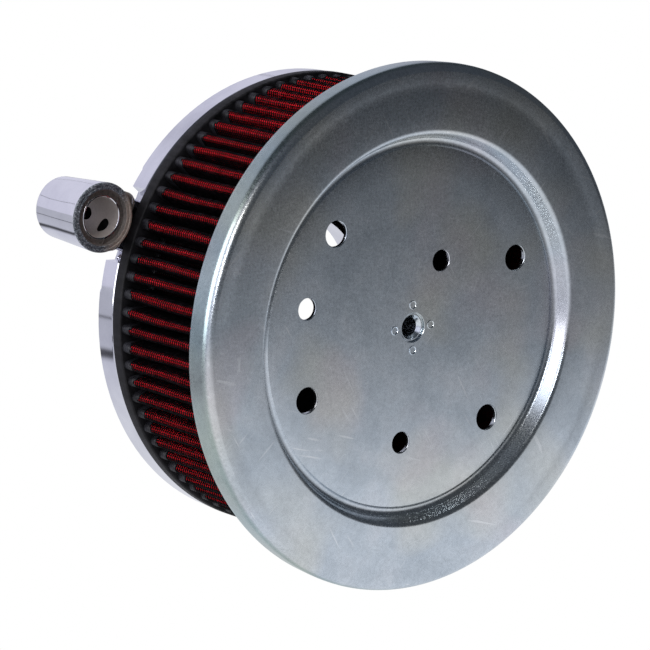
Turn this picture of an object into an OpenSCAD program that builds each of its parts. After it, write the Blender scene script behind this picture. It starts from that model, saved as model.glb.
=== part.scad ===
// Round open-element air filter for a V-twin motorcycle, shown as it sits on the engine.
// +X is the rider's forward side, +Z is up, and the filter faces -Y, away from the engine.
// The origin is the centre of the face that bolts to the throttle body.
// Parts are drawn with h as their distance in front of that face, then turned to face -Y.

/* [End cap] */
// Outer diameter of the steel end cap
cap_d = 190; // [188:0.5:196]
// Thickness of the cap's sheet steel
cap_sheet = 1.2; // [1:0.1:1.5]
// How far the cap's centre disc is sunk below its rim
cap_recess = 5.4; // [4.8:0.2:6.4]
// Diameter of the sunken flat disc
cap_disc_d = 133; // [130:0.5:134]
// Depth of the cap's skirt below its rim face
cap_skirt = 10.8; // [9:0.2:12]
// Diameter of the four large holes
large_hole_d = 9.3; // [8:0.1:10]
// Diameter of the circle that the four large holes lie on
large_hole_circle = 103.4; // [98:0.2:108]
// Diameter of the three small holes
small_hole_d = 7.7; // [6.5:0.1:8.5]

/* [Centre nut] */
// Bore of the weld nut, the minor diameter of an M8 thread
nut_bore_d = 6.8; // [6.6:0.1:7]
// Diameter of the nut's collar, seen in the cap's centre hole
nut_collar_d = 9.9; // [9.4:0.1:10.4]
// Height of the nut's barrel behind the cap
nut_barrel = 9; // [7:0.5:12]

/* [Filter element] */
// Diameter over the pleats
element_d = 166.8; // [165:0.2:167.4]
// Radial depth of one pleat
pleat_depth = 10.2; // [9:0.2:10.6]
// Number of pleats
pleats = 80; // [72:1:84]
// Thickness of the cotton media
media_t = 0.9; // [0.7:0.1:1]
// Thickness of each wire mesh
mesh_t = 0.35; // [0.3:0.05:0.4]

/* [Seal ring] */
// Outer diameter of the rear seal ring
seal_d = 168.4; // [168:0.2:169]
// Axial thickness of the rear seal ring
seal_t = 5.2; // [4.8:0.1:6]

/* [Backing plate] */
// Outer diameter of the backing plate
plate_d = 167.6; // [167:0.2:168.4]
// Height of the plate's front face in front of the mounting face
plate_front = 10; // [9.6:0.2:10.6]
// Axial depth of the plate's outer rim
rim_depth = 9.4; // [8.8:0.1:9.5]
// Diameter of the intake opening
intake_d = 60; // [54:0.5:60]
// Diameter of the throttle-body screw circle
throttle_circle = 75.4; // [74:0.2:78]
// Diameter of the throttle-body screw holes
throttle_hole_d = 6.8; // [6.5:0.1:7]

/* [Breather fittings] */
// Distance of each fitting's bore from the filter's axis
breather_reach = 101.9; // [101:0.1:104]
// Angle of each fitting above the horizontal
breather_angle = 24.4; // [24:0.1:26]
// Length of each fitting along its bore
breather_len = 26.5; // [25:0.5:28]
// Outer diameter of each fitting at its front
breather_d = 25; // [24.6:0.2:27.2]
// Bore for the hollow breather bolt
breather_bore_d = 14.4; // [14:0.1:16]
// Slide travel of each fitting in or out of the plate
breather_travel = 1; // [0.5:0.1:1]

/* [Hidden] */

$fn = 96;
tiny = 0.02;

// ---- heights above the mounting face
rim_back = plate_front - rim_depth;
seal_gap = 0.1;
seal_back = plate_front + seal_gap;
seal_front = seal_back + seal_t;
cap_face = 81;
disc_face = cap_face - cap_recess;
skirt_end = cap_face - cap_skirt;
potting_back = cap_face - 8;
embed = 2;

// ---- end cap section
cap_r = cap_d / 2;
shoulder_r = 3.6;
disc_r = cap_disc_d / 2;
recess_wall = 5.2;
recess_round = 2.2;
edge_groove = 0.35;
centre_hole_d = nut_collar_d + 0.9;

// The hole pattern is tilted so that it clears the ribs of every plate that it fits
hole_tilt = -12.8;
hole_spread = 34.8;
large_hole_angles = [
    hole_tilt - hole_spread, hole_tilt + hole_spread,
    hole_tilt + 180 - hole_spread, hole_tilt + 180 + hole_spread
];
// The three small holes lie on a circle about a centre set to the left of the axis
small_hole_circle = 76;
small_hole_centre = [-13.9, -4.2];
small_hole_angles = [45, 152.8, 282.8];

// ---- weld nut
nut_flange_d = 23;
nut_flange_t = 2.2;
nut_barrel_d = 13;
nut_sink = 0.8;
nut_land = 0.5;
nut_lead_in = 1.5;
weld_count = 4;
weld_circle = 16.5;
weld_d = 3.3;
weld_rim = 0.5;
weld_h = 0.3;

// ---- pleats, from the outside surface (0) to the inside surface (3)
ridge_half = 1.75;
valley_half = 0.95;
pitch = 360 / pleats;
layer = [0, mesh_t, mesh_t + media_t, 2 * mesh_t + media_t];
pleat_out = element_d / 2;
pleat_in = pleat_out - pleat_depth;
pleat_back = seal_front - embed;
pleat_front = potting_back + embed;

// ---- seal ring
seal_in = 70.4;

// ---- backing plate
plate_r = plate_d / 2;
web_t = 5;
rim_wall = 6.2;
rim_round = 1.2;
hub_r = 47;
bell_r = 4;
throttle_angles = [90, 210, 330];
lip_out = 69.8;
lip_in = 67;
lip_h = 3.2;
boss_d = 15;
boss_back = 1;
cap_bolt_hole_d = 5.1;
o_ring_t = 2.4;
o_ring_mid = 32.1;

// ---- breather fittings, along their own outward direction
spigot_h = plate_front - 5;
spigot_w = 19.4;
spigot_t = 7.4;
spigot_fit = 0.1;
spigot_in = 68.6;
spigot_socket = 2;
pocket_spare = 1.7;
pocket_in = spigot_in - breather_travel - pocket_spare;
notch_floor = 77;
notch_half_in = 12;
notch_half_out = 15.2;
notch_reach = 86;
relief_half = 18.5;
relief_depth = 1;
pocket_boss_half = 13;
pocket_boss_back = -1.5;
passage_d = 6;
passage_w = 15;
// Each cross hole's place: across the arm, and along the bore from the arm's middle
cross_holes = [[-1.9, 4.8], [0.8, -5.7]];
cross_hole_d = 4.7;
// The arm runs a little above the line from the axis to the bore
arm_off = 1.7;
arm_w = 21.6;
arm_t = 9.4;
arm_end = 84.8;
arm_flat = 1.4;
arm_root = breather_len - 9;
breather_r = breather_d / 2;
breather_back_r = breather_r - 1.4;
breather_face = spigot_h + 13;
seat_r = 10;
seat_depth = 1.2;
seal_cord = 1.5;
seal_back_off = 3.2;
seal_w = spigot_w - seal_cord + 0.1;
seal_h = spigot_t - seal_cord + 0.1;
head_seal_mid = 9.1;
head_seal_cord = 1.8;

zinc = [0.62, 0.65, 0.68];
chrome = [0.80, 0.80, 0.84];
mesh_black = [0.10, 0.10, 0.11];
media_red = [0.55, 0.07, 0.10];
rubber_black = [0.07, 0.07, 0.08];

// ================= helpers =================

// Turns parts drawn upwards so that they face -Y
module facing() {
    rotate([90, 0, 0]) children();
}

// A round bar or hole along h
module rod(d, from, to) {
    translate([0, 0, from]) cylinder(d = d, h = to - from);
}

// A flat ring along h
module ring(r_in, r_out, from, to) {
    difference() {
        rod(2 * r_out, from, to);
        rod(2 * r_in, from - 1, to + 1);
    }
}

// Points of an arc about a centre, from angle a to angle b
function arc(centre, r, a, b, steps = 6) = [
    for (i = [0:steps]) centre + r * [cos(a + (b - a) * i / steps), sin(a + (b - a) * i / steps)]
];

// A slot-shaped outline, w wide and t thick, with round ends
module oblong(w, t) {
    square([w - t, t], center = true);
    for (side = [-1, 1]) translate([side * (w - t) / 2, 0]) circle(d = t);
}

// Sets children at one fitting: +X runs outwards along the arm and +Z is h
module fitting(side) {
    facing() mirror([side < 0 ? 1 : 0, 0, 0]) rotate([0, 0, breather_angle]) children();
}

// Turns an extrusion so that it runs outwards along the arm, with its X across the arm
module along_arm() {
    translate([0, arm_off, spigot_h]) rotate([0, 90, 0]) rotate([0, 0, 90]) children();
}

// A slot-shaped bar or hole along the arm
module slot_bar(w, t, from, to) {
    along_arm() translate([0, 0, from]) linear_extrude(height = to - from) oblong(w, t);
}

// ================= end cap =================

// Front line of the cap's section; the back line is the same line, one sheet thickness in
function cap_line(inset) = concat(
    [[centre_hole_d / 2, disc_face - inset]],
    [[disc_r - 1.4, disc_face - inset]],
    [[disc_r - 0.7, disc_face - inset - edge_groove]],
    arc([disc_r, disc_face + recess_round - edge_groove], recess_round + inset, 270, 330),
    arc([disc_r + recess_wall, cap_face - recess_round], recess_round - inset, 150, 90),
    arc([cap_r - shoulder_r, cap_face - shoulder_r], shoulder_r - inset, 90, 0, 8),
    [[cap_r - inset, skirt_end]]
);

function reversed(list) = [for (i = [len(list) - 1:-1:0]) list[i]];

module cap_holes() {
    for (a = large_hole_angles)
        rotate([0, 0, a]) translate([large_hole_circle / 2, 0, 0])
            rod(large_hole_d, disc_face - 5, disc_face + 5);
    translate(small_hole_centre)
        for (a = small_hole_angles)
            rotate([0, 0, a]) translate([small_hole_circle / 2, 0, 0])
                rod(small_hole_d, disc_face - 5, disc_face + 5);
}

module end_cap() {
    color(zinc) facing() {
        difference() {
            rotate_extrude() polygon(concat(cap_line(0), reversed(cap_line(cap_sheet))));
            cap_holes();
        }
        // Raised rings that the projection welds leave on the disc
        for (i = [0:weld_count - 1])
            rotate([0, 0, i * 360 / weld_count]) translate([weld_circle / 2, 0, 0]) difference() {
                rod(weld_d, disc_face - tiny, disc_face + weld_h);
                rod(weld_d - 2 * weld_rim, disc_face, disc_face + 1);
            }
    }
}

// Round weld nut behind the cap, with its countersunk collar in the cap's centre hole
module weld_nut() {
    back = disc_face - cap_sheet;
    face = disc_face - nut_sink;
    color(zinc) facing() difference() {
        union() {
            rod(nut_flange_d, back - nut_flange_t, back);
            rod(nut_barrel_d, back - nut_flange_t - nut_barrel, back - tiny);
            rod(nut_collar_d, back - tiny, face);
        }
        rod(nut_bore_d, back - nut_flange_t - nut_barrel - 1, face + 1);
        translate([0, 0, face - nut_lead_in])
            cylinder(d1 = nut_bore_d, d2 = nut_collar_d - 2 * nut_land, h = nut_lead_in + tiny);
    }
}

// ================= filter element =================

// One surface of the pleats as a closed outline; k picks the surface from layer
function pleat_outline(k) = let (
    r_out = pleat_out - layer[k],
    r_in = pleat_in - layer[k],
    ridge = ridge_half - layer[k],
    valley = valley_half + layer[k]
) [
    for (i = [0:pleats - 1], corner = [0:3]) let (
        a = i * pitch + (corner < 2 ? 0 : pitch / 2),
        r = corner < 2 ? r_out : r_in,
        offset_along = (corner < 2 ? ridge : valley) * (corner % 2 == 0 ? -1 : 1)
    ) [r * cos(a) - offset_along * sin(a), r * sin(a) + offset_along * cos(a)]
];

// The band between two pleat surfaces, as long as asked
module pleat_band(outer, inner, from, to) {
    translate([0, 0, from]) linear_extrude(height = to - from) difference() {
        polygon(pleat_outline(outer));
        polygon(pleat_outline(inner));
    }
}

module pleat_media() {
    color(media_red) facing() pleat_band(1, 2, pleat_back, pleat_front);
}

module outer_mesh() {
    color(mesh_black) facing() pleat_band(0, 1, pleat_back, pleat_front);
}

module inner_mesh() {
    color(mesh_black) facing() pleat_band(2, 3, pleat_back, pleat_front);
}

// Ring that bonds the pleats into the cap, under its rim
module front_potting() {
    top = cap_face - cap_sheet;
    color(rubber_black) facing() difference() {
        ring(disc_r + recess_wall, cap_r - cap_sheet, potting_back, top);
        pleat_band(0, 3, potting_back - 1, pleat_front);
        rotate_extrude() polygon(cap_clearance());
    }
}

// Everything above the cap's underside, near the recess wall and the shoulder
function cap_clearance() = concat(
    [[disc_r, disc_face - 20]],
    arc([disc_r, disc_face + recess_round - edge_groove], recess_round + cap_sheet, 270, 330),
    arc([disc_r + recess_wall, cap_face - recess_round], recess_round - cap_sheet, 150, 90),
    arc([cap_r - shoulder_r, cap_face - shoulder_r], shoulder_r - cap_sheet, 90, 0, 8),
    [[cap_r + 1, cap_face - shoulder_r], [cap_r + 1, cap_face + 1], [disc_r - 1, cap_face + 1]]
);

// Soft ring that carries the pleats and seals on the backing plate
module rear_seal_ring() {
    bead = 1.2;
    color(rubber_black) facing() difference() {
        rotate_extrude() polygon([
            [seal_in, seal_back], [seal_d / 2 - 0.3, seal_back], [seal_d / 2, seal_back + 0.3],
            [seal_d / 2, seal_front - 0.4], [seal_d / 2 - 0.4, seal_front],
            [seal_in + bead, seal_front], [seal_in, seal_front - bead]
        ]);
        pleat_band(0, 3, pleat_back, seal_front + 1);
    }
}

// ================= backing plate =================

// Section of the plate's hub, web, rim and centring lip, with a bell-mouthed intake
function plate_section() = concat(
    [[intake_d / 2, 0], [hub_r, 0], [hub_r, plate_front - web_t]],
    [[plate_r - rim_wall, plate_front - web_t], [plate_r - rim_wall, rim_back]],
    [[plate_r - 0.4, rim_back], [plate_r, rim_back + 0.4]],
    arc([plate_r - rim_round, plate_front - rim_round], rim_round, 0, 90),
    [[lip_out, plate_front], [lip_out, plate_front + lip_h - 0.6]],
    [[lip_out - 0.6, plate_front + lip_h], [lip_in, plate_front + lip_h], [lip_in, plate_front]],
    arc([intake_d / 2 + bell_r, plate_front - bell_r], bell_r, 90, 180)
);

// Notch in the rim, splayed to give the arm room, one per fitting
module rim_notch() {
    translate([0, arm_off, -1]) linear_extrude(height = plate_front + 2) polygon([
        [notch_floor, -notch_half_in], [notch_reach, -notch_half_out],
        [notch_reach, notch_half_out], [notch_floor, notch_half_in]
    ]);
}

// The rim's rear edge is cut back a little on both sides of the notch
module rim_relief() {
    outer = plate_r + 2;
    translate([0, 0, rim_back - 1]) linear_extrude(height = relief_depth + 1) polygon([
        [plate_r - rim_wall - 4, 0],
        [outer * cos(relief_half), -outer * sin(relief_half)],
        [outer * 1.1, 0],
        [outer * cos(relief_half), outer * sin(relief_half)]
    ]);
}

module both_sides() {
    for (side = [0, 1]) mirror([side, 0, 0]) rotate([0, 0, breather_angle]) children();
}

module plate_solid() {
    rotate_extrude() polygon(plate_section());
    // Bosses that hold the spigot pockets and the breather passages
    both_sides()
        translate([hub_r - 2, arm_off - pocket_boss_half, pocket_boss_back])
            cube([notch_floor - hub_r + 2, 2 * pocket_boss_half, plate_front - pocket_boss_back - 1]);
    // Bosses for the four bolts that clamp the cap
    for (a = large_hole_angles)
        rotate([0, 0, a]) translate([large_hole_circle / 2, 0, 0])
            rod(boss_d, boss_back, plate_front - 1);
}

module plate_cuts() {
    both_sides() {
        rim_notch();
        rim_relief();
        // Slot-shaped pocket for the spigot, open at the notch
        slot_bar(spigot_w + 2 * spigot_fit, spigot_t + 2 * spigot_fit, pocket_in, notch_reach);
        // Round passage on into the intake
        along_arm() translate([0, 0, intake_d / 2 - 4])
            cylinder(d = passage_d, h = pocket_in + 5 - intake_d / 2);
    }
    for (a = large_hole_angles)
        rotate([0, 0, a]) translate([large_hole_circle / 2, 0, 0])
            rod(cap_bolt_hole_d, boss_back + 1.5, plate_front + 1);
    for (a = throttle_angles)
        rotate([0, 0, a]) translate([throttle_circle / 2, 0, 0])
            rod(throttle_hole_d, -1, plate_front + 1);
    // Groove for the intake's O-ring
    ring(o_ring_mid - o_ring_t / 2, o_ring_mid + o_ring_t / 2, -1, o_ring_t - 0.3);
}

module backing_plate() {
    color(chrome) facing() difference() {
        plate_solid();
        plate_cuts();
    }
}

// O-ring that seals the intake on the throttle body
module intake_o_ring() {
    color(rubber_black) facing()
        translate([0, 0, o_ring_t / 2 - 0.3 + tiny])
            rotate_extrude() translate([o_ring_mid, 0]) circle(d = o_ring_t - 2 * tiny, $fn = 32);
}

// ================= breather fittings =================

// Body turned round its bore, with a shallow seat for the bolt's washer at the front
module breather_turning() {
    seat = breather_face - seat_depth;
    rotate_extrude() polygon(concat(
        [[breather_bore_d / 2, breather_face - breather_len]],
        [[breather_back_r - 1.4, breather_face - breather_len]],
        arc([breather_back_r - 1.4, breather_face - breather_len + 1.4], 1.4, 270, 360),
        [[breather_r, breather_face - 0.5], [breather_r - 0.5, breather_face]],
        [[seat_r, breather_face], [seat_r - 0.5, seat]],
        [[breather_bore_d / 2 + 0.25, seat], [breather_bore_d / 2, seat - 0.25]]
    ));
}

// Arm that blends from the round body to a slot-shaped end
module breather_arm() {
    hull() {
        translate([breather_reach, 0, spigot_h - arm_root / 2])
            cylinder(r = breather_r - 0.9, h = arm_root, $fn = 64);
        slot_bar(arm_w, arm_t, arm_end, arm_end + arm_flat, $fn = 32);
    }
}

// Two cross holes from the bore, one hole along h that joins them, and the way out
module breather_passages() {
    for (at = cross_holes)
        translate([arm_end + 6, at[0], spigot_h + at[1]]) rotate([0, 90, 0])
            cylinder(d = cross_hole_d, h = breather_reach - arm_end - 7);
    translate([arm_end + 7, 0, 0])
        rod(4.6, spigot_h + cross_holes[1][1] - 1, spigot_h + cross_holes[0][1] + 1);
    slot_bar(passage_w, 3.6, arm_end - 1, arm_end + 7.6);
}

module breather_body(side) {
    back = breather_face - breather_len;
    color(chrome) fitting(side) difference() {
        union() {
            translate([breather_reach, 0, 0]) breather_turning();
            breather_arm();
        }
        translate([breather_reach, 0, 0]) {
            rod(breather_bore_d, back - 1, breather_face + 1);
            // Groove in the rear face for the head seal
            ring(head_seal_mid - head_seal_cord / 2, head_seal_mid + head_seal_cord / 2,
                back - 1, back + head_seal_cord - 0.4);
        }
        breather_passages();
        slot_bar(spigot_w - 2, spigot_t - 2, arm_end - 1, arm_end + spigot_socket);
    }
}

// Slot-shaped tube pressed in the arm, which slides in the plate's pocket
module breather_spigot(side) {
    groove_at = spigot_in + seal_back_off;
    color(chrome) fitting(side) difference() {
        union() {
            slot_bar(spigot_w, spigot_t, spigot_in, arm_end);
            slot_bar(spigot_w - 2, spigot_t - 2, arm_end - tiny, arm_end + spigot_socket);
        }
        slot_bar(passage_w, 2.6, spigot_in - 1, arm_end + spigot_socket + 1);
        difference() {
            slot_bar(spigot_w + 2, spigot_t + 2, groove_at, groove_at + seal_cord + 0.3);
            slot_bar(seal_w - seal_cord, seal_h - seal_cord, groove_at - 1, groove_at + seal_cord + 1);
        }
    }
}

// O-ring in the spigot's groove: two straight runs and two half rings
module breather_spigot_seal(side) {
    cord = seal_cord - 2 * tiny;
    run = seal_w - seal_h;
    color(rubber_black) fitting(side) along_arm()
        translate([0, 0, spigot_in + seal_back_off + seal_cord / 2 + 0.15])
            for (end = [0, 180]) rotate([0, 0, end]) {
                translate([run / 2, 0, 0]) rotate([0, 0, -90])
                    rotate_extrude(angle = 180) translate([seal_h / 2, 0]) circle(d = cord, $fn = 24);
                translate([-run / 2, seal_h / 2, 0]) rotate([0, 90, 0])
                    cylinder(d = cord, h = run, $fn = 24);
            }
}

// O-ring in the body's rear face, which seals on the cylinder head
module breather_head_seal(side) {
    back = breather_face - breather_len;
    color(rubber_black) fitting(side)
        translate([breather_reach, 0, back + head_seal_cord / 2 - 0.4])
            rotate_extrude() translate([head_seal_mid, 0])
                circle(d = head_seal_cord - 2 * tiny, $fn = 24);
}

// ================= drawing =================

backing_plate();
intake_o_ring();
end_cap();
weld_nut();
front_potting();
rear_seal_ring();
pleat_media();
outer_mesh();
inner_mesh();
breather_body(-1);  // breather_left_body
breather_spigot(-1);  // breather_left_spigot
breather_spigot_seal(-1);  // breather_left_spigot_seal
breather_head_seal(-1);  // breather_left_head_seal
breather_body(1);  // breather_right_body
breather_spigot(1);  // breather_right_spigot
breather_spigot_seal(1);  // breather_right_spigot_seal
breather_head_seal(1);  // breather_right_head_seal
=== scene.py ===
"""Looks of the air filter: detailed meshes, node materials, a studio and the camera."""

import math

import bmesh
import bpy
import numpy as np
from mathutils import Matrix, Vector


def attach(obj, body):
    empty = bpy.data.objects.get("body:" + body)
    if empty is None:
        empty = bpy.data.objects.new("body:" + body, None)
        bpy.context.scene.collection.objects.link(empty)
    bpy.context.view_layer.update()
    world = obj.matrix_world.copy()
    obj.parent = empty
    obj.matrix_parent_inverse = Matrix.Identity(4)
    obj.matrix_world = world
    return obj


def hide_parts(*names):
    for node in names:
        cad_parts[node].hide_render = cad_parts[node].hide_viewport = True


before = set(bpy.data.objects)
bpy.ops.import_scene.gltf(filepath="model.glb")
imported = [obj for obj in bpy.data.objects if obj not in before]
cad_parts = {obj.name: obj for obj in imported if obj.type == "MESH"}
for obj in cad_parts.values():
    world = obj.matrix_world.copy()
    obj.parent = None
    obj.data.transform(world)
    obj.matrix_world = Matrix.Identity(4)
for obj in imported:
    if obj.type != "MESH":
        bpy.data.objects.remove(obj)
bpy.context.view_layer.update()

MM = 0.001
TAU = 2 * math.pi

# ---- sizes of the CAD model, in mm; h is the distance in front of the mounting face
CAP_R = 95.0
CAP_FACE = 81.0
DISC_FACE = 75.6
DISC_R = 66.5
SHEET = 1.2
SKIRT_END = 70.2
PLEATS = 80
PITCH = TAU / PLEATS
PLEAT_OUT = 83.4
PLEAT_IN = 73.2
RIDGE_R = 1.75
VALLEY_R = 0.95
SEAL_BACK = 10.1
SEAL_FRONT = 14.9
SEAL_IN = 70.4
SEAL_R = 84.2
POTTING_BACK = 73.0
BREATHER_ANGLE = math.radians(24.4)
BREATHER_REACH = 101.9
BREATHER_BORE = 7.2


# ================= meshes =================


def new_object(name, verts, faces, body, mat, sharp=35.0):
    """A mesh from points in mm, smooth below an angle, riding on a body."""
    mesh = bpy.data.meshes.new(name)
    mesh.from_pydata((np.asarray(verts, float) * MM).tolist(), [], [list(f) for f in faces])
    mesh.validate()
    return finish_object(name, mesh, body, mat, sharp)


def quads_object(name, verts, quads, body, mat):
    """A large mesh of quads only, smooth all over, filled straight from arrays."""
    quads = np.asarray(quads, np.int32)
    mesh = bpy.data.meshes.new(name)
    mesh.vertices.add(len(verts))
    mesh.vertices.foreach_set("co", (np.asarray(verts, float) * MM).astype(np.float32).ravel())
    mesh.loops.add(quads.size)
    mesh.loops.foreach_set("vertex_index", quads.ravel())
    mesh.polygons.add(len(quads))
    mesh.polygons.foreach_set("loop_start", np.arange(0, quads.size, 4, dtype=np.int32))
    mesh.update(calc_edges=True)
    return finish_object(name, mesh, body, mat)


def finish_object(name, mesh, body, mat, sharp=None):
    """Shades a mesh smooth, gives it its material, and puts it on its body."""
    mesh.polygons.foreach_set("use_smooth", np.ones(len(mesh.polygons), bool))
    mesh.materials.append(mat)
    if sharp is not None:
        mesh.set_sharp_from_angle(angle=math.radians(sharp))
    mesh.update()
    obj = bpy.data.objects.new(name, mesh)
    bpy.context.scene.collection.objects.link(obj)
    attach(obj, body)
    return obj


def arc(cx, cy, r, a0, a1, steps):
    """Points of an arc about (cx, cy), its angles in degrees."""
    angles = [math.radians(a0 + (a1 - a0) * i / steps) for i in range(steps + 1)]
    return [(cx + r * math.cos(a), cy + r * math.sin(a)) for a in angles]


def revolve(profile, segments, closed=True):
    """Verts and faces of a (r, h) profile turned round the filter's axis."""
    prof = np.array(profile, float)
    ang = np.arange(segments) * TAU / segments
    r, h = prof[:, 0], prof[:, 1]
    verts = np.stack(
        [
            np.outer(r, np.cos(ang)),
            -np.outer(h, np.ones(segments)),
            np.outer(r, np.sin(ang)),
        ],
        -1,
    ).reshape(-1, 3)
    n = len(prof)
    faces = []
    for i in range(n if closed else n - 1):
        j = (i + 1) % n
        for k in range(segments):
            m = (k + 1) % segments
            faces.append((i * segments + k, i * segments + m, j * segments + m, j * segments + k))
    return verts, faces


def recalc(obj):
    """Turns the normals of a closed mesh outwards."""
    bm = bmesh.new()
    bm.from_mesh(obj.data)
    bmesh.ops.recalc_face_normals(bm, faces=bm.faces)
    bm.to_mesh(obj.data)
    bm.free()
    obj.data.update()


def move_points(verts, dx, dz):
    """Points moved across the filter's axis."""
    return verts + np.array([dx, 0.0, dz])


def cutter(verts, faces):
    """A closed mesh from points in mm, to be used up by boolean()."""
    mesh = bpy.data.meshes.new("cutter")
    mesh.from_pydata((np.asarray(verts) * MM).tolist(), [], [list(f) for f in faces])
    mesh.validate()
    obj = bpy.data.objects.new("cutter", mesh)
    bpy.context.scene.collection.objects.link(obj)
    recalc(obj)
    return obj


def join_meshes(parts):
    """Several (verts, faces) as one."""
    verts, faces, base = [], [], 0
    for v, f in parts:
        verts.append(np.asarray(v, float))
        faces += [tuple(i + base for i in face) for face in f]
        base += len(v)
    return np.concatenate(verts), faces


def boolean(obj, other, operation, sharp=35.0):
    """Applies a boolean with another object, which is then removed."""
    mod = obj.modifiers.new("cut", "BOOLEAN")
    mod.object = other
    mod.operation = operation
    mod.solver = "EXACT"
    mod.use_self = False
    bpy.context.view_layer.update()
    deps = bpy.context.evaluated_depsgraph_get()
    mesh = bpy.data.meshes.new_from_object(obj.evaluated_get(deps))
    old = obj.data
    obj.modifiers.clear()
    obj.data = mesh
    mesh.name = old.name
    bpy.data.meshes.remove(old)
    gone = other.data
    bpy.data.objects.remove(other)
    bpy.data.meshes.remove(gone)
    mesh.polygons.foreach_set("use_smooth", np.ones(len(mesh.polygons), bool))
    mesh.set_sharp_from_angle(angle=math.radians(sharp))
    mesh.update()


def solid_revolve(profile, segments):
    """A bar turned round the axis, with flat ends."""
    verts, faces = revolve(profile, segments, closed=False)
    first = tuple(range(segments))[::-1]
    last = tuple((len(profile) - 1) * segments + k for k in range(segments))
    return verts, faces + [first, last]


# ================= materials =================


class Nodes:
    """A material with one Principled shader, and short calls for the nodes that feed it."""

    def __init__(self, name, **values):
        self.mat = bpy.data.materials.new(name)
        self.mat.use_nodes = True
        self.tree = self.mat.node_tree
        self.tree.nodes.clear()
        out = self.tree.nodes.new("ShaderNodeOutputMaterial")
        self.p = self.tree.nodes.new("ShaderNodeBsdfPrincipled")
        self.tree.links.new(self.p.outputs[0], out.inputs[0])
        for key, value in values.items():
            self.p.inputs[key.replace("_", " ")].default_value = value
        coord = self.tree.nodes.new("ShaderNodeTexCoord")
        self.coord = coord.outputs["Object"]

    def node(self, kind, **settings):
        n = self.tree.nodes.new(kind)
        for key, value in settings.items():
            setattr(n, key, value)
        return n

    def put(self, socket, value):
        """Links another node's output to a socket, or sets the socket's own value."""
        if hasattr(value, "is_output"):
            self.tree.links.new(value, socket)
        else:
            socket.default_value = value

    def scaled(self, scale, rotate=(0, 0, 0)):
        """Object coordinates, turned first and then scaled along each axis."""
        turned = self.node("ShaderNodeMapping")
        self.put(turned.inputs["Vector"], self.coord)
        turned.inputs["Rotation"].default_value = rotate
        m = self.node("ShaderNodeMapping")
        self.put(m.inputs["Vector"], turned.outputs[0])
        m.inputs["Scale"].default_value = scale
        return m.outputs[0]

    def noise(self, size_mm, detail=2.0, rough=0.5, vector=None, distortion=0.0):
        """Noise from 0 to 1 whose largest cells are about size_mm across."""
        n = self.node("ShaderNodeTexNoise")
        self.put(n.inputs["Vector"], vector or self.coord)
        n.inputs["Scale"].default_value = 1000.0 / size_mm
        n.inputs["Detail"].default_value = detail
        n.inputs["Roughness"].default_value = rough
        n.inputs["Distortion"].default_value = distortion
        return n.outputs["Fac"]

    def ramp(self, fac, stops):
        """A colour ramp; each stop is a place from 0 to 1 with a grey or a colour."""
        r = self.node("ShaderNodeValToRGB")
        elements = r.color_ramp.elements
        while len(elements) < len(stops):
            elements.new(0.5)
        for element, (at, colour) in zip(elements, stops):
            element.position = at
            if isinstance(colour, (int, float)):
                colour = (colour, colour, colour)
            element.color = (*colour, 1.0)
        self.put(r.inputs[0], fac)
        return r.outputs[0]

    def math(self, operation, a, b=0.0):
        m = self.node("ShaderNodeMath", operation=operation)
        self.put(m.inputs[0], a)
        self.put(m.inputs[1], b)
        return m.outputs[0]

    def mix(self, fac, a, b, blend="MIX"):
        m = self.node("ShaderNodeMix", data_type="RGBA", blend_type=blend)
        self.put(m.inputs[0], fac)
        for socket, value in ((m.inputs[6], a), (m.inputs[7], b)):
            if isinstance(value, tuple) and len(value) == 3:
                value = (*value, 1.0)
            self.put(socket, value)
        return m.outputs[2]

    def range(self, value, a, b, c, d):
        """Maps value from a..b to c..d, held at the ends."""
        m = self.node("ShaderNodeMapRange")
        for socket, v in zip(m.inputs, (value, a, b, c, d)):
            self.put(socket, v)
        return m.outputs[0]

    def split(self):
        """The object's X, Y and Z coordinates."""
        s = self.node("ShaderNodeSeparateXYZ")
        self.put(s.inputs[0], self.coord)
        return s.outputs

    def from_axis(self, x=0.0, z=0.0):
        """Distance in metres from a line along Y; x and z in mm, and both sides are alike."""
        axes = self.split()
        dx = self.math("SUBTRACT", self.math("ABSOLUTE", axes[0]), x * MM)
        dz = self.math("SUBTRACT", axes[2], z * MM)
        squares = [self.math("MULTIPLY", d, d) for d in (dx, dz)]
        return self.math("SQRT", self.math("ADD", *squares))

    def bump(self, height, strength, distance_mm, normal=None):
        b = self.node("ShaderNodeBump")
        b.inputs["Strength"].default_value = strength
        b.inputs["Distance"].default_value = distance_mm * MM
        self.put(b.inputs["Height"], height)
        if normal is not None:
            self.put(b.inputs["Normal"], normal)
        return b.outputs[0]


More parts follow.
